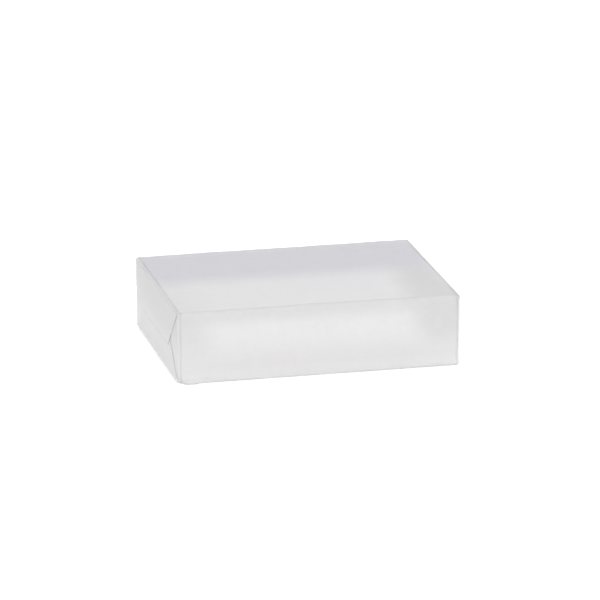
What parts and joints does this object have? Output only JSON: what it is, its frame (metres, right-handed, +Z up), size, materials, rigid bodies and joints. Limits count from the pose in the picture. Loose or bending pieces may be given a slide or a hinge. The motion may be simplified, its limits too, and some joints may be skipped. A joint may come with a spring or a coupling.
{
  "type": "gymnastics chalk block",
  "caption": "Pressed block of gymnastics chalk in a translucent paper wrapper, with parcel-folded ends whose flaps and tucks open.",
  "frame": {"origin": "middle of the underside, on the surface that the block rests on", "axes": "+X along the block towards the right folded end, +Y from the front face to the back face, +Z up"},
  "size_m": [0.1, 0.072, 0.0254],
  "materials": {
    "chalk": "matte",
    "wrapper": "satin",
    "glue": "satin"
  },
  "bodies": {
    "wrapped_block": {"chalk_block": "chalk", "wrapper_top_panel": "wrapper", "wrapper_front_panel": "wrapper", "wrapper_back_panel": "wrapper", "wrapper_inner_lap": "wrapper", "wrapper_outer_lap": "wrapper", "seam_glue_strip": "glue"},
    "left_top": {"left_top_flap": "wrapper", "left_top_front_gusset": "wrapper", "left_top_back_gusset": "wrapper", "left_end_glue": "glue"},
    "left_bottom": {"left_bottom_flap": "wrapper", "left_bottom_front_gusset": "wrapper", "left_bottom_back_gusset": "wrapper"},
    "left_front": {"left_front_tuck": "wrapper"},
    "left_back": {"left_back_tuck": "wrapper"},
    "right_top": {"right_top_flap": "wrapper", "right_top_front_gusset": "wrapper", "right_top_back_gusset": "wrapper", "right_end_glue": "glue"},
    "right_bottom": {"right_bottom_flap": "wrapper", "right_bottom_front_gusset": "wrapper", "right_bottom_back_gusset": "wrapper"},
    "right_front": {"right_front_tuck": "wrapper"},
    "right_back": {"right_back_tuck": "wrapper"}
  },
  "joints": [
    {"name": "left_top_crease", "type": "hinge", "parent": "wrapped_block", "child": "left_top", "pos_m": [-0.05, 0, 0.0254], "axis": [0, 1, 0], "range_deg": [0, 180]},
    {"name": "left_bottom_crease", "type": "hinge", "parent": "wrapped_block", "child": "left_bottom", "pos_m": [-0.05, 0, 0], "axis": [0, -1, 0], "range_deg": [0, 90]},
    {"name": "left_front_crease", "type": "hinge", "parent": "wrapped_block", "child": "left_front", "pos_m": [-0.0497, -0.036, 0.0127], "axis": [0, 0, 1], "range_deg": [0, 81]},
    {"name": "left_back_crease", "type": "hinge", "parent": "wrapped_block", "child": "left_back", "pos_m": [-0.0497, 0.036, 0.0127], "axis": [0, 0, -1], "range_deg": [0, 81]},
    {"name": "right_top_crease", "type": "hinge", "parent": "wrapped_block", "child": "right_top", "pos_m": [0.05, 0, 0.0254], "axis": [0, -1, 0], "range_deg": [0, 180]},
    {"name": "right_bottom_crease", "type": "hinge", "parent": "wrapped_block", "child": "right_bottom", "pos_m": [0.05, 0, 0], "axis": [0, 1, 0], "range_deg": [0, 90]},
    {"name": "right_front_crease", "type": "hinge", "parent": "wrapped_block", "child": "right_front", "pos_m": [0.0497, -0.036, 0.0127], "axis": [0, 0, -1], "range_deg": [0, 81]},
    {"name": "right_back_crease", "type": "hinge", "parent": "wrapped_block", "child": "right_back", "pos_m": [0.0497, 0.036, 0.0127], "axis": [0, 0, 1], "range_deg": [0, 81]}
  ],
  "couplings": [
    {"joint": "left_bottom_crease", "follows": "left_top_crease", "ratio": 0.5},
    {"joint": "left_front_crease", "follows": "left_top_crease", "ratio": 0.45},
    {"joint": "left_back_crease", "follows": "left_top_crease", "ratio": 0.45},
    {"joint": "right_bottom_crease", "follows": "right_top_crease", "ratio": 0.5},
    {"joint": "right_front_crease", "follows": "right_top_crease", "ratio": 0.45},
    {"joint": "right_back_crease", "follows": "right_top_crease", "ratio": 0.45}
  ]
}
